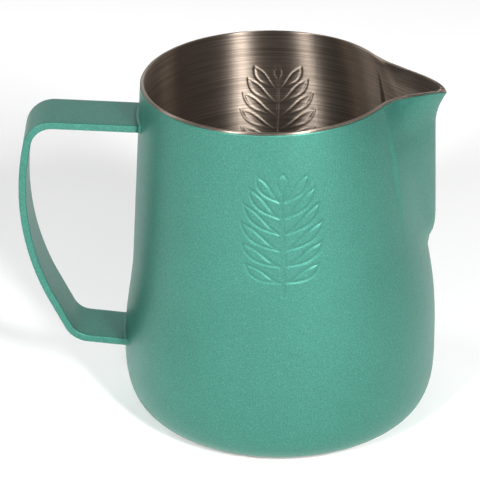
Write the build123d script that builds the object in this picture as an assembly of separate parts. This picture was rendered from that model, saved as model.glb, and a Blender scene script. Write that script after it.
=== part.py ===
from build123d import *
import math
import os

# Milk frothing pitcher. Sizes in millimetres.
# Origin: centre of the base, on the surface it stands on. +Z up, spout towards +X, handle at -X.

# Body of revolution, outside of the coating
HEIGHT = 110.0
RIM_RADIUS = 42.8
TAPER = 0.0589  # growth in radius for each millimetre below the rim
BELLY_Z = 26.5  # the base curve starts here
BELLY_TOP_Z = 51.5  # the straight cone ends here
BELLY_SWELL = 1.56
BASE_FLAT_RADIUS = 36.1
BASE_DROP = 17.6  # tangent lengths of the base curve, at the belly and at the flat base
BASE_REACH = 12.6

# Sheet and coating
COAT = 0.2
STEEL = 1.0
COAT_LOW_Z = 1.0  # the coating ends just above the surface that the pitcher stands on
RIM_BARE = 0.6  # bare steel below the rim, outside

# The section's centre drifts: the spout draws the mouth in and pushes the shoulder out below it
MOUTH_PULL = 3.43
MOUTH_PULL_FADE = 33.9
SHOULDER_PUSH = 0.99
SHOULDER_Z = 45.8
SHOULDER_SPREAD = 11.5

# Spout: a keel line in the plane y = 0, and two nearly flat sides that run back from it
KEEL_X = 48.55
KEEL_LEAN = 0.026
KEEL_LEAN_Z = 67.0
FLARE = 0.0345
FLARE_Z = 95.3
FOOT_Z = 56.7
FOOT_DROP = 2.6
FOOT_FADE = 2.2
FOOT_LIMIT = 16.0
LIP_Z = 108.7
LIP_FADE = 7.0
SIDE_RUN = 0.64  # along x for each millimetre of half width
SIDE_RUN_LIP = 0.81
KEEL_ROUND = 3.0
KEEL_ROUND_LIP = -2.5
CREASE_ROUND = 2.2
CREASE_ROUND_LIP = 0.3
SPOUT_REACH_ANGLE = math.radians(38)
SPOUT_HOLD_ANGLE = math.radians(31)  # from here the spout's side sinks under the round wall
SPOUT_LET_GO = 4.0  # how far it has sunk at the reach angle

# The wall is pinched a little on each side of the spout, at the lip
PINCH = 0.6
PINCH_ANGLE = 0.55
PINCH_SPREAD = 0.22

# Rim line seen from the side: level, then falling to the tip of the spout
RIM_LEVEL_X = 22.0
RIM_FALL_RATE = 0.0035
RIM_END_X = 53.0
RIM_STEPS = 10
TIP_X = 51.35
TIP_DROP = 1.1
TIP_DROP_FADE = 1.5

# Sections of the wall
BASE_SECTIONS = [1.0, 0.92, 0.84, 0.74, 0.62, 0.5, 0.36, 0.2]  # steps along the base curve
WALL_SECTIONS = [BELLY_Z, 31, 36, 41, 46, 51, 54, 56, 57.5, 59, 61, 64, 68, 73, 78, 83, 88, 92, 95]
LIP_SECTIONS = [97, 99, 101, 103, 105, 107, 109, 112]
SECTION_POINTS = 56  # from the handle's side to the spout's, on one side of the plane y = 0
SECTION_GATHER = 0.65  # gathers the points towards the spout

# Handle: one bent strap. Corners of its centre line in the plane y = 0, and the radii that round them
STRAP_WIDTH = 18.0
STRAP_THICKNESS = 2.3
STRAP_EDGE = 0.35
STRAP_CORNERS = [(-38.0, 97.3), (-75.95, 99.45), (-84.1, 65.1), (-65.15, 25.6), (-38.0, 22.25)]
STRAP_RADII = [7.85, 82.0, 7.75]

# Weld beads around the two ends of the strap
BEAD = 0.8
BEAD_REACH = 16.0


def smooth_step(t):
    t = min(max(t, 0.0), 1.0)
    return t * t * (3 - 2 * t)


def lip_fade(z):
    return min(1.0, math.exp((z - LIP_Z) / LIP_FADE))


def wall_radius(z):
    swell = BELLY_SWELL * smooth_step((BELLY_TOP_Z - z) / (BELLY_TOP_Z - BELLY_Z))
    return RIM_RADIUS + TAPER * (HEIGHT - z) + swell


def centre_drift(z):
    pull = MOUTH_PULL * math.exp((z - HEIGHT) / MOUTH_PULL_FADE)
    push = SHOULDER_PUSH * math.exp(-(((z - SHOULDER_Z) / SHOULDER_SPREAD) ** 2) / 2)
    return push - pull


def keel_x(z):
    flare = FLARE * max(0.0, z - FLARE_Z) ** 2
    foot = min(FOOT_LIMIT, FOOT_DROP * math.exp((FOOT_Z - z) / FOOT_FADE))
    return KEEL_X - KEEL_LEAN * (z - KEEL_LEAN_Z) + flare - foot


def round_wall(angle, z, radius):
    """Distance from the axis to the round part of the wall."""
    drift = centre_drift(z)
    pinch = PINCH * lip_fade(z) * math.exp(-(((angle - PINCH_ANGLE) / PINCH_SPREAD) ** 2) / 2)
    across = (radius + drift) ** 2 - (drift * math.sin(angle)) ** 2
    return drift * math.cos(angle) + math.sqrt(across) - pinch


def spout_side(angle, z, inset):
    """Distance from the axis to the side of the spout, x = keel - run * (hypot(y, r) - r)."""
    run = SIDE_RUN + SIDE_RUN_LIP * lip_fade(z)
    rounding = KEEL_ROUND + KEEL_ROUND_LIP * lip_fade(z)
    apex = keel_x(z) - inset * math.hypot(1, run) + run * rounding
    cosine = math.cos(angle)
    spread = cosine ** 2 - (run * math.sin(angle)) ** 2
    gap = apex ** 2 - (run * rounding) ** 2
    return gap / (apex * cosine + math.sqrt((apex * cosine) ** 2 - spread * gap))


def section_radius(angle, z, radius, inset):
    """The further out of the round wall and the spout's side, with the crease between them rounded."""
    wall = round_wall(angle, z, radius - inset)
    if angle > SPOUT_REACH_ANGLE:
        return wall
    sinking = smooth_step((angle - SPOUT_HOLD_ANGLE) / (SPOUT_REACH_ANGLE - SPOUT_HOLD_ANGLE))
    side = spout_side(angle, z, inset) - SPOUT_LET_GO * sinking
    blend = CREASE_ROUND + CREASE_ROUND_LIP * lip_fade(z)
    share = min(max(0.5 + 0.5 * (wall - side) / blend, 0.0), 1.0)
    return side * (1 - share) + wall * share + blend * share * (1 - share)


def section_wire(z, radius, inset):
    """One closed section of the wall, moved inwards by inset."""
    steps = [index / SECTION_POINTS for index in range(SECTION_POINTS + 1)]
    points = []
    for step in steps:
        angle = math.pi * step - SECTION_GATHER * math.sin(math.pi * step)
        out = section_radius(angle, z, radius, inset)
        points.append((out * math.cos(angle), out * math.sin(angle), z))
    points += [(x, -y, z) for x, y, z in points[-2:0:-1]]
    parameters = steps + [2 - step for step in steps[-2::-1]]
    return Wire([Edge.make_spline(points, periodic=True, parameters=parameters)])


def base_curve(step, inset, floor_z):
    """Radius and height on the curve from the belly, at step 0, to the flat base, at step 1."""
    drop = BASE_DROP - inset
    reach = BASE_REACH - inset
    belly = wall_radius(BELLY_Z) - inset
    corners = [
        (belly, BELLY_Z),
        (belly + TAPER * drop, BELLY_Z - drop),
        (BASE_FLAT_RADIUS + reach, floor_z),
        (BASE_FLAT_RADIUS, floor_z),
    ]
    weights = [(1 - step) ** 3, 3 * step * (1 - step) ** 2, 3 * step ** 2 * (1 - step), step ** 3]
    radius = sum(weight * corner[0] for weight, corner in zip(weights, corners))
    z = sum(weight * corner[1] for weight, corner in zip(weights, corners))
    return radius, z


def cup_solid(inset, floor_z):
    """The solid inside a wall moved inwards by inset, from floor_z to above the rim."""
    wires = []
    for step in BASE_SECTIONS:
        radius, z = base_curve(step, inset, floor_z)
        wires.append(section_wire(z, radius, 0.0))
    for z in WALL_SECTIONS + LIP_SECTIONS:
        wires.append(section_wire(z, wall_radius(z), inset))
    return Solid.make_loft(wires)


def rim_height(x):
    fall = RIM_FALL_RATE * (x - RIM_LEVEL_X) ** 2
    return HEIGHT - fall - TIP_DROP * math.exp((x - TIP_X) / TIP_DROP_FADE)


def above_rim(lowered):
    """Everything above the rim line, or above a line lower than the rim."""
    stride = (RIM_END_X - RIM_LEVEL_X) / RIM_STEPS
    stations = [RIM_LEVEL_X + stride * step for step in range(RIM_STEPS + 1)]
    points = [Vector(x, rim_height(x) - lowered) for x in stations]
    left = (-70, points[0].Y)
    top = HEIGHT + 20
    edge = Line(left, points[0]) + Spline(*points)
    frame = Polyline(points[-1], (70, points[-1].Y), (70, top), (-70, top), left)
    return extrude(Plane.XZ * make_face(edge + frame), amount=70, both=True)


def strap_path():
    return Plane.XZ * FilletPolyline(*STRAP_CORNERS, radius=STRAP_RADII)


def strap_bar(grow):
    """The whole strap, running on into the body, with grow added on all four sides."""
    path = strap_path()
    start = Plane(path @ 0, x_dir=(0, 1, 0), z_dir=path % 0)
    corner = STRAP_EDGE + grow
    profile = RectangleRounded(STRAP_WIDTH + 2 * grow, STRAP_THICKNESS + 2 * grow, corner)
    return sweep(start * profile, path=path)


def export_node(shape, name):
    shape.label = name
    export_step(shape, "parts/" + name + ".step")


os.makedirs("parts", exist_ok=True)

outside = cup_solid(0.0, 0.0)
under_coat = cup_solid(COAT, 0.0)
inside = cup_solid(COAT + STEEL, STEEL)

body_shell = under_coat - inside - above_rim(0.0)
export_node(body_shell, "body_shell")

coat_low = Pos(0, 0, COAT_LOW_Z / 2) * Box(4 * RIM_RADIUS, 4 * RIM_RADIUS, COAT_LOW_Z)
coat_pieces = (outside - under_coat - above_rim(RIM_BARE) - coat_low).solids()
body_coating = max(coat_pieces, key=lambda piece: piece.volume)
export_node(body_coating, "body_coating")

strap = strap_bar(0.0)
handle_strap = strap - outside
export_node(handle_strap, "handle_strap")

bead_cup = cup_solid(-BEAD, 0.0)
bead_bar = strap_bar(BEAD)
for name, z in (("upper_weld", STRAP_CORNERS[0][1]), ("lower_weld", STRAP_CORNERS[-1][1])):
    zone = Pos(-RIM_RADIUS - BEAD_REACH / 2, 0, z) * Box(2 * BEAD_REACH, 2 * STRAP_WIDTH, BEAD_REACH)
    weld = (bead_bar & zone & bead_cup) - outside - strap
    export_node(weld, name)
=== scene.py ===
import math

import bpy
import numpy as np
from mathutils import Matrix, Vector


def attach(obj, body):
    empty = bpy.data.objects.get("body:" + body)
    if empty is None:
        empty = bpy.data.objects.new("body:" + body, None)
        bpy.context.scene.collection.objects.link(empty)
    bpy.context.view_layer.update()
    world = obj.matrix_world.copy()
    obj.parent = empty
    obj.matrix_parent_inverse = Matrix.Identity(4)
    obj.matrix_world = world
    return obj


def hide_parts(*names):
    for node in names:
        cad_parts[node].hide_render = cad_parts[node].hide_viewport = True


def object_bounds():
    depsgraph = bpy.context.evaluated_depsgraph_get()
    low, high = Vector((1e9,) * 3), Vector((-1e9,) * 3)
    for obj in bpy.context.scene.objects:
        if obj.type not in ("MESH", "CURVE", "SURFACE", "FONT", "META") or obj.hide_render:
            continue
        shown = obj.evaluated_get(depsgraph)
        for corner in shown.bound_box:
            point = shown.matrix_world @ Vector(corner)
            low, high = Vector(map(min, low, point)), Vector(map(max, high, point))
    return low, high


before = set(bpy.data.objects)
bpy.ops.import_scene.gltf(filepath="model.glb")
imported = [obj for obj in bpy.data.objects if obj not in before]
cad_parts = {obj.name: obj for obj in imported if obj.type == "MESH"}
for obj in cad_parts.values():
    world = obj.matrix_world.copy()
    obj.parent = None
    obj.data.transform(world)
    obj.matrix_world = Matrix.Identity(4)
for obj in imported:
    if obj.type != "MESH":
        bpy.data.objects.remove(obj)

# A milk frothing pitcher. Lengths are in millimetres up to the meshes, which are in metres.
MM = 0.001
CAD_BOX = [list(corner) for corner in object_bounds()]
HEIGHT = CAD_BOX[1][2] / MM

# Body of revolution, outside of the coating
RIM_RADIUS = 42.8
TAPER = 0.0589
BELLY_Z = 26.5
BELLY_TOP_Z = 51.5
BELLY_SWELL = 1.56
BASE_FLAT_RADIUS = 36.1
BASE_DROP = 17.6
BASE_REACH = 12.6

# Sheet and coating
COAT = 0.2
STEEL = 1.0
WALL = COAT + STEEL
COAT_LOW_Z = 1.0
RIM_BARE = 0.6
RIM_ROUND = 0.35
HIDDEN_COAT = 0.6
HIDDEN_STEEL = 0.75
HIDDEN_GAP = 2.0  # the hidden walls stop this far below the rim
STEEL_STEP_GAP = 0.9  # between these two gaps below the rim the steel steps in behind the coat
STEEL_STEP_END = 1.2
COAT_EDGE_DROP = 0.08
COAT_EDGE_BEVEL = 0.06
COAT_TUCK = 0.02
COAT_BASE_TUCK = 0.05
BASE_HIDDEN_END = 0.6  # shares of the base curve, from 0 at the belly to 1 at the flat
BASE_BARE_START = 0.72

# Drift of the section's centre
MOUTH_PULL = 3.43
MOUTH_PULL_FADE = 33.9
SHOULDER_PUSH = 0.99
SHOULDER_Z = 45.8
SHOULDER_SPREAD = 11.5

# Spout
KEEL_X = 48.55
KEEL_LEAN = 0.026
KEEL_LEAN_Z = 67.0
FLARE = 0.0345
FLARE_Z = 95.3
FOOT_Z = 56.7
FOOT_DROP = 2.6
FOOT_FADE = 2.2
FOOT_LIMIT = 16.0
LIP_Z = 108.7
LIP_FADE = 7.0
SIDE_RUN = 0.64
SIDE_RUN_LIP = 0.81
KEEL_ROUND = 3.0
KEEL_ROUND_LIP = -2.5
CREASE_ROUND = 2.2
CREASE_ROUND_LIP = 0.3
SPOUT_REACH_ANGLE = math.radians(38)
SPOUT_HOLD_ANGLE = math.radians(31)
SPOUT_LET_GO = 4.0  # how far the spout's side has sunk under the wall at its reach
PINCH = 0.6
PINCH_ANGLE = 0.55
PINCH_SPREAD = 0.22

# Rim line
RIM_LEVEL_X = 22.0
RIM_FALL_RATE = 0.0035
TIP_X = 51.35
TIP_DROP = 1.1
TIP_DROP_FADE = 1.5

# Handle strap and weld beads
STRAP_WIDTH = 18.0
STRAP_THICKNESS = 2.3
STRAP_EDGE = 0.35
STRAP_CORNERS = [(-38.0, 97.3), (-75.95, 99.45), (-84.1, 65.1), (-65.15, 25.6), (-38.0, 22.25)]
STRAP_RADII = [7.85, 82.0, 7.75]
STRAP_SINK = 0.3
STRAP_MIN_STEP = 0.4  # closer points are dropped, because the heading between them is not steady
BEAD = 0.75
BEAD_RIPPLE = 0.06
BEAD_RIPPLE_TURN = 2.4
BEAD_SINK = 0.3

# Pressed leaf, on the front and the back of the neck
LEAF_RADIUS = 43.6
LEAF_LOW = 59.0
LEAF_HIGH = 98.0
LEAF_HALF_WIDTH = 17.0
LEAF_MARGIN = 2.0
LEAF_PAIRS = 6
STEM_LENGTH = 32.0
STEM_SWAY = 0.9
TOP_PETAL_LENGTH = 7.0
TOP_PETAL_DROP = 7.5
TOP_PETAL_HALF_WIDTH = 1.7
PETAL_HALF_WIDTH = 1.45
PETAL_FOOT_X = 1.0
PETAL_LOWEST = 4.5
PETAL_SPAN = 25.5
PETAL_LENGTH = 8.5
PETAL_LENGTH_SWELL = 6.2  # the middle pairs are the longest
PETAL_SWELL_START = 0.16
PETAL_SWELL_RUN = 0.72
PETAL_TILT = 0.20
PETAL_TILT_RISE = 0.35
PETAL_BEND = 0.55
LINE_WIDTH = 1.15
LINE_DEPTH = 0.32
LINE_FADE = 0.1
INSIDE_SHARE = 0.3  # the lines are shallower on the inside

# Mesh: columns around half the body, and rows up the wall at steps of about 1 mm
LEAF_HALF_ANGLE = math.radians(18)
SPOUT_COLUMNS = 56
SIDE_COLUMNS = 22
LEAF_COLUMNS = 92
BACK_COLUMNS = 44
LEAF_FIRST_STEP = 31
LEAF_LAST_STEP = 74
WALL_STEPS = 84
LEAF_ROWS = 140
NECK_ROWS = 22
HIDDEN_ROWS = 10

# Colours and finish
COAT_DARK = (0.026, 0.140, 0.106)
COAT_MIDDLE = (0.038, 0.186, 0.142)
COAT_LIGHT = (0.060, 0.255, 0.196)
COAT_ROUGHNESS = 0.48
COAT_METALLIC = 0.7
COAT_GLOSS = 0.25
COAT_GLOSS_ROUGHNESS = 0.32
COAT_ROUGHNESS_SPREAD = 0.04
GRAIN_SCALE = 2600
MOTTLE_SCALE = 60
SHEEN_SCALE = 400
PEEL_SCALE = 1200
FLAKE_SCALE = 3600
STEEL_DARK = (0.14, 0.112, 0.093)
STEEL_MIDDLE = (0.27, 0.22, 0.178)
STEEL_LIGHT = (0.50, 0.42, 0.35)
STEEL_ROUGHNESS = 0.38
STEEL_SMOOTHER = 0.07
STEEL_ROUGHER = 0.10
STEEL_METALLIC = 0.92
STEEL_ANISOTROPY = 1.0
STEEL_TURN = 0.25  # stretches highlights across the brushing
BRUSH_FINE = (35, 35, 5200)
BRUSH_BROAD = (60, 60, 1500)
FLOOR_GLOW = 0.10
FLOOR_ROUGHNESS = 0.9
FLOOR_HALF = 2.0

# Lights and camera, in metres and watts
WORLD_LOW = 0.08
WORLD_HIGH = 0.9
LIGHT_TARGET = (0, 0, 0.06)
SOFTBOXES = {
    "key_right": {"place": (0.45, -0.84, 0.62), "width": 0.18, "height": 0.35, "power": 15.5},
    "key_left": {"place": (-0.52, -0.80, 0.62), "width": 0.14, "height": 0.35, "power": 9.8},
    "side_left": {"place": (-0.95, 0.25, 0.65), "width": 0.35, "height": 0.4, "power": 2.4},
}
CAMERA_EYE = (-0.01266, -0.75676, 0.44213)
CAMERA_TARGET = (-0.01266, 0.0, 0.05507)
CAMERA_ROLL = -0.008
CAMERA_SENSOR = 36.0
CAMERA_LENS = 202.8


def smooth_step(t):
    t = np.clip(t, 0.0, 1.0)
    return t * t * (3 - 2 * t)


def lip_fade(z):
    return np.minimum(1.0, np.exp((z - LIP_Z) / LIP_FADE))


def wall_radius(z):
    swell = BELLY_SWELL * smooth_step((BELLY_TOP_Z - z) / (BELLY_TOP_Z - BELLY_Z))
    return RIM_RADIUS + TAPER * (HEIGHT - z) + swell


def centre_drift(z):
    pull = MOUTH_PULL * np.exp((z - HEIGHT) / MOUTH_PULL_FADE)
    push = SHOULDER_PUSH * np.exp(-(((z - SHOULDER_Z) / SHOULDER_SPREAD) ** 2) / 2)
    return push - pull


def round_wall(angle, z, radius):
    """Distance from the axis to the round part of the wall."""
    drift = centre_drift(z)
    pinch = PINCH * lip_fade(z) * np.exp(-(((np.abs(angle) - PINCH_ANGLE) / PINCH_SPREAD) ** 2) / 2)
    across = (radius + drift) ** 2 - (drift * np.sin(angle)) ** 2
    return drift * np.cos(angle) + np.sqrt(across) - pinch


def spout_side(angle, z, inset):
    """Distance from the axis to the side of the spout, inside the spout's angle."""
    flare = FLARE * np.maximum(0.0, z - FLARE_Z) ** 2
    foot = np.minimum(FOOT_LIMIT, FOOT_DROP * np.exp((FOOT_Z - z) / FOOT_FADE))
    keel = KEEL_X - KEEL_LEAN * (z - KEEL_LEAN_Z) + flare - foot
    run = SIDE_RUN + SIDE_RUN_LIP * lip_fade(z)
    rounding = KEEL_ROUND + KEEL_ROUND_LIP * lip_fade(z)
    apex = keel - inset * np.hypot(1, run) + run * rounding
    cosine = np.cos(angle)
    spread = cosine ** 2 - (run * np.sin(angle)) ** 2
    gap = apex ** 2 - (run * rounding) ** 2
    root = np.sqrt(np.maximum((apex * cosine) ** 2 - spread * gap, 0.0))
    return gap / np.maximum(apex * cosine + root, 1.0)


def section_radius(angle, z, radius, inset):
    """The further out of the round wall and the spout's side, with a rounded crease between them."""
    wall = round_wall(angle, z, radius - inset)
    turn = np.abs(angle)
    sinking = smooth_step((turn - SPOUT_HOLD_ANGLE) / (SPOUT_REACH_ANGLE - SPOUT_HOLD_ANGLE))
    side = spout_side(angle, z, inset) - SPOUT_LET_GO * sinking
    side = np.where(turn < SPOUT_REACH_ANGLE, side, 0.0)
    blend = CREASE_ROUND + CREASE_ROUND_LIP * lip_fade(z)
    share = np.clip(0.5 + 0.5 * (wall - side) / blend, 0.0, 1.0)
    return side * (1 - share) + wall * share + blend * share * (1 - share)


def rim_height(x):
    fall = RIM_FALL_RATE * np.maximum(0.0, x - RIM_LEVEL_X) ** 2
    return HEIGHT - fall - TIP_DROP * np.exp((np.minimum(x, TIP_X + 2) - TIP_X) / TIP_DROP_FADE)


def base_curve(steps, inset, floor_z):
    """Radii and heights from the belly, at step 0, to the flat base, at step 1."""
    drop = BASE_DROP - inset
    reach = BASE_REACH - inset
    belly = float(wall_radius(BELLY_Z)) - inset
    corners = np.array([
        (belly, BELLY_Z),
        (belly + TAPER * drop, BELLY_Z - drop),
        (BASE_FLAT_RADIUS + reach, floor_z),
        (BASE_FLAT_RADIUS, floor_z),
    ])
    rest = 1 - steps
    weights = np.stack([rest ** 3, 3 * steps * rest ** 2, 3 * steps ** 2 * rest, steps ** 3])
    return weights.T @ corners


# The pressed leaf: closed petals on a stem, as points on the unrolled wall

def petal(root, tilt, bend, length, half_width, count=26):
    """A closed drop-shaped loop that leaves root at the angle tilt and curves by bend."""
    along = np.linspace(0, 1, count)
    heading = tilt + bend * along
    line = np.stack([np.cos(heading), np.sin(heading)], 1) * (length / (count - 1))
    line = np.cumsum(line, axis=0) - line[0] + np.array(root)
    aside = np.stack([-np.sin(heading), np.cos(heading)], 1)
    swell = (half_width * np.sin(math.pi * along ** 1.4))[:, None]
    return np.concatenate([line + aside * swell, (line - aside * swell)[::-1]])


def leaf_lines():
    """A swaying stem, one petal at the top, and mirrored pairs up the stem."""
    lines = []
    stem = np.linspace(0, 1, 20)
    sway = STEM_SWAY * np.sin(stem * math.pi * 1.2) * (1 - stem)
    lines.append(np.stack([sway, LEAF_LOW + STEM_LENGTH * stem], 1))
    top = (0, LEAF_HIGH - TOP_PETAL_DROP)
    lines.append(petal(top, math.pi / 2, 0.0, TOP_PETAL_LENGTH, TOP_PETAL_HALF_WIDTH))
    for pair in range(LEAF_PAIRS):
        share = pair / (LEAF_PAIRS - 1)
        swell = math.sin(math.pi * (PETAL_SWELL_START + PETAL_SWELL_RUN * share))
        length = PETAL_LENGTH + PETAL_LENGTH_SWELL * swell
        root = (PETAL_FOOT_X, LEAF_LOW + PETAL_LOWEST + PETAL_SPAN * share)
        tilt = PETAL_TILT + PETAL_TILT_RISE * share
        drop = petal(root, tilt, PETAL_BEND, length, PETAL_HALF_WIDTH)
        lines.append(drop)
        lines.append(drop * np.array([-1, 1]))
    return lines


def distance_to_lines(points, lines):
    nearest = np.full(len(points), 1e3)
    for line in lines:
        for start, end in zip(line[:-1], line[1:]):
            run = end - start
            share = np.clip((points - start) @ run / max(run @ run, 1e-9), 0, 1)
            nearest = np.minimum(nearest, np.hypot(*(points - start - share[:, None] * run).T))
    return nearest


def leaf_depth(angle, z):
    """How far the wall is pressed in at each point."""
    depth = np.zeros_like(z)
    lines = leaf_lines()
    for middle in (-math.pi / 2, math.pi / 2):
        across = (angle - middle) * LEAF_RADIUS
        near = np.abs(across) < LEAF_HALF_WIDTH
        near &= (z > LEAF_LOW - LEAF_MARGIN) & (z < LEAF_HIGH + LEAF_MARGIN)
        distance = distance_to_lines(np.stack([across[near], z[near]], 1), lines)
        reach = np.clip(distance / (LINE_WIDTH / 2 + LINE_FADE), 0, 1)
        depth[near] = LINE_DEPTH * 0.5 * (1 + np.cos(math.pi * reach))
    return depth


# Meshes

def column_angles():
    """Angles around the body, closer together on the spout and on the leaf."""
    side = math.pi / 2
    half = np.concatenate([
        np.linspace(0, SPOUT_REACH_ANGLE, SPOUT_COLUMNS, endpoint=False),
        np.linspace(SPOUT_REACH_ANGLE, side - LEAF_HALF_ANGLE, SIDE_COLUMNS, endpoint=False),
        np.linspace(side - LEAF_HALF_ANGLE, side + LEAF_HALF_ANGLE, LEAF_COLUMNS, endpoint=False),
        np.linspace(side + LEAF_HALF_ANGLE, math.pi, BACK_COLUMNS, endpoint=False),
    ])
    return np.concatenate([half, [math.pi], -half[:0:-1]])


ANGLES = column_angles()


def rim_line():
    """The rim's height in each column."""
    z = np.full_like(ANGLES, HEIGHT)
    for _ in range(40):
        x = section_radius(ANGLES, z, wall_radius(z), 0.0) * np.cos(ANGLES)
        z = 0.5 * z + 0.5 * rim_height(x)
    return z


RIM = rim_line()


def ring(z, radius, inset):
    """One row of points: z, radius and inset may each be one number or one for each column."""
    z = np.broadcast_to(np.asarray(z, float), ANGLES.shape)
    out = section_radius(ANGLES, z, radius, inset)
    return np.stack([out * np.cos(ANGLES), out * np.sin(ANGLES), z], 1)


def wall_rows(inset, top_gap, pressed=1.0, fine=True):
    """Rows from the belly up to top_gap below the rim, with a share of the leaf's depth pressed in."""
    if fine:
        steps = np.concatenate([
            np.linspace(0, LEAF_FIRST_STEP, LEAF_FIRST_STEP + 1, endpoint=False),
            np.linspace(LEAF_FIRST_STEP, LEAF_LAST_STEP, LEAF_ROWS, endpoint=False),
            np.linspace(LEAF_LAST_STEP, WALL_STEPS, NECK_ROWS),
        ]) / WALL_STEPS
    else:
        steps = np.linspace(0, 1, HIDDEN_ROWS)
    rows = []
    for step in steps:
        z = BELLY_Z + step * (RIM - top_gap - BELLY_Z)
        rows.append(ring(z, wall_radius(z), inset + pressed * leaf_depth(ANGLES, z)))
    return rows


def hidden_rows(inset):
    """Rows that nothing shows: down the wall from below the rim, and into the base curve."""
    wall = wall_rows(inset, HIDDEN_GAP, pressed=0.0, fine=False)[::-1]
    return wall + base_rows(inset, 0.0, np.linspace(0, BASE_HIDDEN_END, 9)[1:])


def disc_row(z, share):
    """A row on a flat disc, at a share of its radius."""
    row = ring(z, BASE_FLAT_RADIUS, 0.0)
    row[:, :2] *= share
    return row


def base_rows(inset, floor_z, steps):
    return [ring(z, radius, 0.0) for radius, z in base_curve(steps, inset, floor_z)]


def build_mesh(name, points, faces):
    mesh = bpy.data.meshes.new(name)
    mesh.from_pydata((np.asarray(points) * MM).tolist(), [], faces)
    mesh.validate()
    mesh.shade_smooth()
    piece = bpy.data.objects.new(name, mesh)
    bpy.context.scene.collection.objects.link(piece)
    return piece


def skin(name, rows, first_pole=None, last_pole=None):
    """Joins rows of points into one closed surface. Without poles the last row joins the first."""
    count = len(rows[0])
    points = [point for row in rows for point in row]
    faces = []
    pairs = [(row, row + 1) for row in range(len(rows) - 1)]
    if first_pole is None:
        pairs.append((len(rows) - 1, 0))
    for low, high in pairs:
        for column in range(count):
            after = (column + 1) % count
            bottom = (low * count + column, low * count + after)
            faces.append((*bottom, high * count + after, high * count + column))
    for pole, row, flip in ((first_pole, 0, True), (last_pole, len(rows) - 1, False)):
        if pole is None:
            continue
        points.append(pole)
        tip = len(points) - 1
        for column in range(count):
            side = (row * count + column, row * count + (column + 1) % count)
            faces.append((side[1], side[0], tip) if flip else (side[0], side[1], tip))
    return build_mesh(name, points, faces)


def steel_cup():
    """The bare steel: floor, inner wall, rounded rim, hidden outer wall and flat base."""
    floor = [disc_row(STEEL, share) for share in (0.15, 0.4, 0.7, 0.9)]
    inner_steps = np.linspace(1, 0, 26)[:-1]
    rows = floor + base_rows(WALL, STEEL, inner_steps) + wall_rows(WALL, RIM_ROUND, pressed=INSIDE_SHARE)
    middle = (COAT + WALL) / 2
    half = (WALL - COAT) / 2
    for turn in np.linspace(0, math.pi, 11)[1:-1]:
        z = RIM - RIM_ROUND + RIM_ROUND * math.sin(turn)
        rows.append(ring(z, wall_radius(z), middle + half * math.cos(turn)))
    for gap, inset in ((RIM_ROUND, COAT), (STEEL_STEP_GAP, COAT), (STEEL_STEP_END, HIDDEN_STEEL)):
        rows.append(ring(RIM - gap, wall_radius(RIM - gap), inset))
    rows += hidden_rows(HIDDEN_STEEL)
    rows += base_rows(COAT, 0.0, np.linspace(BASE_BARE_START, 1, 9))
    rows += [disc_row(0.0, share) for share in (0.8, 0.5, 0.2)]
    return skin("steel_cup", rows, (0, 0, STEEL), (0, 0, 0))


def green_coat():
    """The coat: its outer face, and an inner face that the steel hides."""
    steps = np.linspace(1, 0, 60)[:-1]
    steps = steps[base_curve(steps, 0.0, 0.0)[:, 1] > COAT_LOW_Z]
    rows = base_rows(0.0, 0.0, steps) + wall_rows(0.0, RIM_BARE + COAT_EDGE_DROP)
    for gap, inset in ((RIM_BARE, COAT_EDGE_BEVEL), (RIM_BARE + COAT_TUCK, COAT + COAT_TUCK)):
        rows.append(ring(RIM - gap, wall_radius(RIM - gap), inset))
    rows += hidden_rows(HIDDEN_COAT) + base_rows(COAT + COAT_BASE_TUCK, 0.0, steps[:2][::-1])
    return skin("green_coat", rows[::-1])


def wall_x(y, z, inset):
    """Where the handle's side of the wall lies, at each y and z."""
    steps = np.linspace(0, 1, 200)
    curve = base_curve(steps, 0.0, 0.0)
    low_radius = np.interp(z, curve[::-1, 1], curve[::-1, 0])
    radius = np.where(z < BELLY_Z, low_radius, wall_radius(z)) - inset
    drift = centre_drift(z)
    return drift - np.sqrt((radius + drift) ** 2 - y ** 2)


def strap_line():
    """Points and headings along the strap's centre line, in the plane y = 0."""
    corners = [np.array(corner) for corner in STRAP_CORNERS]
    points = [corners[0]]
    for before, corner, after, radius in zip(corners, corners[1:], corners[2:], STRAP_RADII):
        back = (before - corner) / np.linalg.norm(before - corner)
        ahead = (after - corner) / np.linalg.norm(after - corner)
        half = math.acos(np.clip(back @ ahead, -1, 1)) / 2
        centre = corner + (back + ahead) / np.linalg.norm(back + ahead) * radius / math.sin(half)
        start = corner + back * radius / math.tan(half) - centre
        sweep = math.pi - 2 * half
        for turn in np.linspace(0, sweep, max(14, int(radius / 1.5))):
            spun = (start[0] * math.cos(turn) - start[1] * math.sin(turn),
                    start[0] * math.sin(turn) + start[1] * math.cos(turn))
            points.append(centre + np.array(spun))
    points.append(corners[-1])
    points = np.array(points)
    advance = np.linalg.norm(np.diff(points, axis=0), axis=1)
    points = points[np.concatenate([[True], advance > STRAP_MIN_STEP])]
    heading = np.gradient(points, axis=0)
    heading[0] = points[1] - points[0]
    heading[-1] = points[-1] - points[-2]
    return points, heading / np.linalg.norm(heading, axis=1)[:, None]


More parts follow.
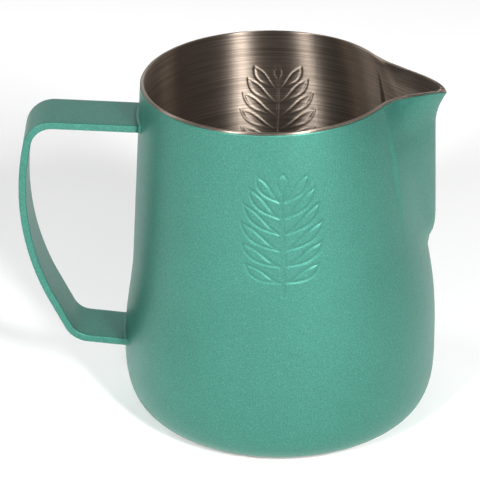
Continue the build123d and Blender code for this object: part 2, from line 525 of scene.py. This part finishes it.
def strap_profile():
    """Closed outline of the strap's section: across, thickness, and the outward direction."""
    outline = []
    corner = STRAP_EDGE
    wide = STRAP_WIDTH / 2 - corner
    thick = STRAP_THICKNESS / 2 - corner
    for sign_y, sign_t, begin in ((1, 1, 0), (-1, 1, 90), (-1, -1, 180), (1, -1, 270)):
        for degree in np.linspace(begin, begin + 90, 6):
            out = np.array([math.cos(math.radians(degree)), math.sin(math.radians(degree))])
            middle = np.array([sign_y * wide, sign_t * thick])
            outline.append((middle + out * corner, out))
        if sign_y == sign_t:
            for share in np.linspace(0, 1, 14)[1:-1]:
                across = sign_y * wide * (1 - 2 * share)
                out = np.array([0.0, float(sign_t)])
                outline.append((np.array([across, sign_t * (thick + corner)]), out))
    return np.array([place for place, _ in outline]), np.array([out for _, out in outline])


def strap_ring(point, heading, profile):
    """The profile's points set square to the heading."""
    normal = np.array([-heading[1], heading[0]])
    x = point[0] - profile[:, 1] * normal[0]
    z = point[1] - profile[:, 1] * normal[1]
    return np.stack([x, profile[:, 0], z], 1)


def meet_wall(row, heading, inset):
    """Slides each point of a row along the heading until it lies on the wall."""
    along = np.array([heading[0], 0.0, heading[1]])
    for _ in range(12):
        miss = wall_x(row[:, 1], row[:, 2], inset) - row[:, 0]
        row = row + (miss / heading[0])[:, None] * along
    return row


def handle_strap():
    points, headings = strap_line()
    profile, _ = strap_profile()
    rows = [strap_ring(point, heading, profile) for point, heading in zip(points, headings)]
    rows[0] = meet_wall(rows[0], headings[0], STRAP_SINK)
    rows[-1] = meet_wall(rows[-1], headings[-1], STRAP_SINK)
    arm = [rows[0] + (rows[1] - rows[0]) * share for share in (0.1, 0.4, 0.7)]
    end = [rows[-2] + (rows[-1] - rows[-2]) * share for share in (0.3, 0.6, 0.9)]
    rows = [rows[0]] + arm + rows[1:-1] + end + [rows[-1]]
    return skin("handle_strap_coated", rows, rows[0].mean(0), rows[-1].mean(0))


def weld_bead(name, upper):
    """A hollow fillet around the strap where it meets the wall, with a slight ripple."""
    points, headings = strap_line()
    point, heading = (points[0], headings[0]) if upper else (points[-1], -headings[-1])
    along = np.array([heading[0], 0.0, heading[1]])
    profile, outward = strap_profile()
    ripple = 1 + BEAD_RIPPLE / BEAD * np.sin(np.arange(len(profile)) * BEAD_RIPPLE_TURN)
    stations = [(-BEAD_SINK, -BEAD_SINK)]
    for turn in np.linspace(0, math.pi / 2, 9):
        stations.append((BEAD * (1 - math.sin(turn)), BEAD * (1 - math.cos(turn))))
    rows = []
    for aside, lift in stations:
        grown = profile + outward * (aside * ripple)[:, None]
        row = meet_wall(strap_ring(point, heading, grown), heading, 0.0)
        rows.append(row + along * (lift * ripple)[:, None])
    return skin(name, rows if upper else rows[::-1])


# Materials

def new_material(name):
    material = bpy.data.materials.new(name)
    material.use_nodes = True
    return material, material.node_tree.nodes, material.node_tree.links


def noise(nodes, links, vector, scale, detail, rough=0.5):
    node = nodes.new("ShaderNodeTexNoise")
    node.inputs["Scale"].default_value = scale
    node.inputs["Detail"].default_value = detail
    node.inputs["Roughness"].default_value = rough
    links.new(vector, node.inputs["Vector"])
    return node.outputs["Fac"]


def ramp(nodes, links, factor, stops):
    node = nodes.new("ShaderNodeValToRGB")
    elements = node.color_ramp.elements
    while len(elements) < len(stops):
        elements.new(0.5)
    for element, (place, colour) in zip(elements, stops):
        element.position = place
        element.color = (*colour, 1)
    links.new(factor, node.inputs["Fac"])
    return node.outputs["Color"]


def bump(nodes, links, height, strength, distance, normal=None):
    node = nodes.new("ShaderNodeBump")
    node.inputs["Strength"].default_value = strength
    node.inputs["Distance"].default_value = distance
    links.new(height, node.inputs["Height"])
    if normal is not None:
        links.new(normal, node.inputs["Normal"])
    return node.outputs["Normal"]


def stretch(nodes, links, vector, scale):
    node = nodes.new("ShaderNodeMapping")
    node.inputs["Scale"].default_value = scale
    links.new(vector, node.inputs["Vector"])
    return node.outputs["Vector"]


def spread(nodes, links, value, low, high):
    node = nodes.new("ShaderNodeMapRange")
    node.inputs["To Min"].default_value = low
    node.inputs["To Max"].default_value = high
    links.new(value, node.inputs["Value"])
    return node.outputs["Result"]


def coat_material():
    """Satin metallic green: a fine pigment grain, broad faint mottling and an orange-peel surface."""
    material, nodes, links = new_material("satin_metallic_green")
    shader = nodes["Principled BSDF"]
    place = nodes.new("ShaderNodeTexCoord").outputs["Object"]
    grain = noise(nodes, links, place, GRAIN_SCALE, 2, 0.6)
    tint = ramp(nodes, links, grain, [(0.25, COAT_DARK), (0.5, COAT_MIDDLE), (0.75, COAT_LIGHT)])
    patches = noise(nodes, links, place, MOTTLE_SCALE, 3)
    mottle = ramp(nodes, links, patches, [(0.35, (0.96,) * 3), (0.65, (1.0,) * 3)])
    mix = nodes.new("ShaderNodeMix")
    mix.data_type = "RGBA"
    mix.blend_type = "MULTIPLY"
    mix.inputs["Factor"].default_value = 1.0
    links.new(tint, mix.inputs["A"])
    links.new(mottle, mix.inputs["B"])
    links.new(mix.outputs["Result"], shader.inputs["Base Color"])
    low, high = COAT_ROUGHNESS - COAT_ROUGHNESS_SPREAD, COAT_ROUGHNESS + COAT_ROUGHNESS_SPREAD
    sheen = spread(nodes, links, noise(nodes, links, place, SHEEN_SCALE, 2), low, high)
    links.new(sheen, shader.inputs["Roughness"])
    peel = bump(nodes, links, noise(nodes, links, place, PEEL_SCALE, 2), 0.15, 0.0001)
    flake = bump(nodes, links, noise(nodes, links, place, FLAKE_SCALE, 1), 0.30, 0.00005, peel)
    links.new(flake, shader.inputs["Normal"])
    shader.inputs["Metallic"].default_value = COAT_METALLIC
    shader.inputs["Coat Weight"].default_value = COAT_GLOSS
    shader.inputs["Coat Roughness"].default_value = COAT_GLOSS_ROUGHNESS
    return material


def steel_material():
    """Bare steel brushed around the axis: long fine lines, a few deeper scratches, warm tint."""
    material, nodes, links = new_material("brushed_steel")
    shader = nodes["Principled BSDF"]
    place = nodes.new("ShaderNodeTexCoord").outputs["Object"]
    fine = noise(nodes, links, stretch(nodes, links, place, BRUSH_FINE), 1.0, 4, 0.6)
    broad = noise(nodes, links, stretch(nodes, links, place, BRUSH_BROAD), 1.0, 3, 0.55)
    colour = ramp(nodes, links, fine, [(0.25, STEEL_DARK), (0.5, STEEL_MIDDLE), (0.78, STEEL_LIGHT)])
    links.new(colour, shader.inputs["Base Color"])
    gloss = spread(nodes, links, broad, STEEL_ROUGHNESS - STEEL_SMOOTHER, STEEL_ROUGHNESS + STEEL_ROUGHER)
    links.new(gloss, shader.inputs["Roughness"])
    lines = bump(nodes, links, fine, 0.35, 0.00004)
    links.new(bump(nodes, links, broad, 0.2, 0.00006, lines), shader.inputs["Normal"])
    tangent = nodes.new("ShaderNodeTangent")
    tangent.direction_type = "RADIAL"
    tangent.axis = "Z"
    links.new(tangent.outputs["Tangent"], shader.inputs["Tangent"])
    shader.inputs["Metallic"].default_value = STEEL_METALLIC
    shader.inputs["Anisotropic"].default_value = STEEL_ANISOTROPY
    shader.inputs["Anisotropic Rotation"].default_value = STEEL_TURN
    return material


def floor_material():
    material, nodes, links = new_material("pale_floor")
    shader = nodes["Principled BSDF"]
    place = nodes.new("ShaderNodeTexCoord").outputs["Object"]
    patches = noise(nodes, links, place, 8, 2)
    tone = ramp(nodes, links, patches, [(0.3, (0.93,) * 3), (0.7, (0.95,) * 3)])
    links.new(tone, shader.inputs["Base Color"])
    links.new(tone, shader.inputs["Emission Color"])
    shader.inputs["Emission Strength"].default_value = FLOOR_GLOW
    shader.inputs["Roughness"].default_value = FLOOR_ROUGHNESS
    return material


# The object

def add_piece(piece, nodes, material):
    piece.data.materials.append(material)
    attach(piece, "root")
    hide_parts(*nodes)


coat = coat_material()
add_piece(steel_cup(), ["body_shell"], steel_material())
add_piece(green_coat(), ["body_coating"], coat)
add_piece(handle_strap(), ["handle_strap"], coat)
add_piece(weld_bead("upper_bead", True), ["upper_weld"], coat)
add_piece(weld_bead("lower_bead", False), ["lower_weld"], coat)


# Stage, lights and camera, in metres

def add_floor():
    mesh = bpy.data.meshes.new("floor")
    signs = ((-1, -1), (1, -1), (1, 1), (-1, 1))
    corners = [(x * FLOOR_HALF, y * FLOOR_HALF, 0) for x, y in signs]
    mesh.from_pydata(corners, [], [(0, 1, 2, 3)])
    floor = bpy.data.objects.new("floor", mesh)
    floor.data.materials.append(floor_material())
    bpy.context.scene.collection.objects.link(floor)


def add_softbox(name, place, width, height, power):
    light = bpy.data.lights.new(name, "AREA")
    light.shape = "RECTANGLE"
    light.size = width
    light.size_y = height
    light.energy = power
    lamp = bpy.data.objects.new(name, light)
    lamp.location = place
    lamp.rotation_euler = (Vector(LIGHT_TARGET) - Vector(place)).to_track_quat("-Z", "Y").to_euler()
    bpy.context.scene.collection.objects.link(lamp)


def add_world():
    world = bpy.data.worlds.new("studio")
    bpy.context.scene.world = world
    world.use_nodes = True
    nodes = world.node_tree.nodes
    links = world.node_tree.links
    split = nodes.new("ShaderNodeSeparateXYZ")
    links.new(nodes.new("ShaderNodeTexCoord").outputs["Generated"], split.inputs["Vector"])
    shade = ramp(nodes, links, split.outputs["Y"], [(0.15, (WORLD_LOW,) * 3), (0.75, (WORLD_HIGH,) * 3)])
    links.new(shade, nodes["Background"].inputs["Color"])


def add_camera():
    eye = Vector(CAMERA_EYE)
    ahead = (Vector(CAMERA_TARGET) - eye).normalized()
    level = Vector((1, 0, 0))
    upright = level.cross(ahead)
    across = level * math.cos(CAMERA_ROLL) + upright * math.sin(CAMERA_ROLL)
    above = upright * math.cos(CAMERA_ROLL) - level * math.sin(CAMERA_ROLL)
    data = bpy.data.cameras.new("camera")
    data.sensor_width = CAMERA_SENSOR
    data.lens = CAMERA_LENS
    camera = bpy.data.objects.new("camera", data)
    turn = Matrix((across, above, -ahead)).transposed().to_4x4()
    camera.matrix_world = Matrix.Translation(eye) @ turn
    bpy.context.scene.collection.objects.link(camera)
    bpy.context.scene.camera = camera


add_floor()
add_world()
for light_name, softbox in SOFTBOXES.items():
    add_softbox(light_name, **softbox)
add_camera()
bpy.context.scene.view_settings.view_transform = "Standard"
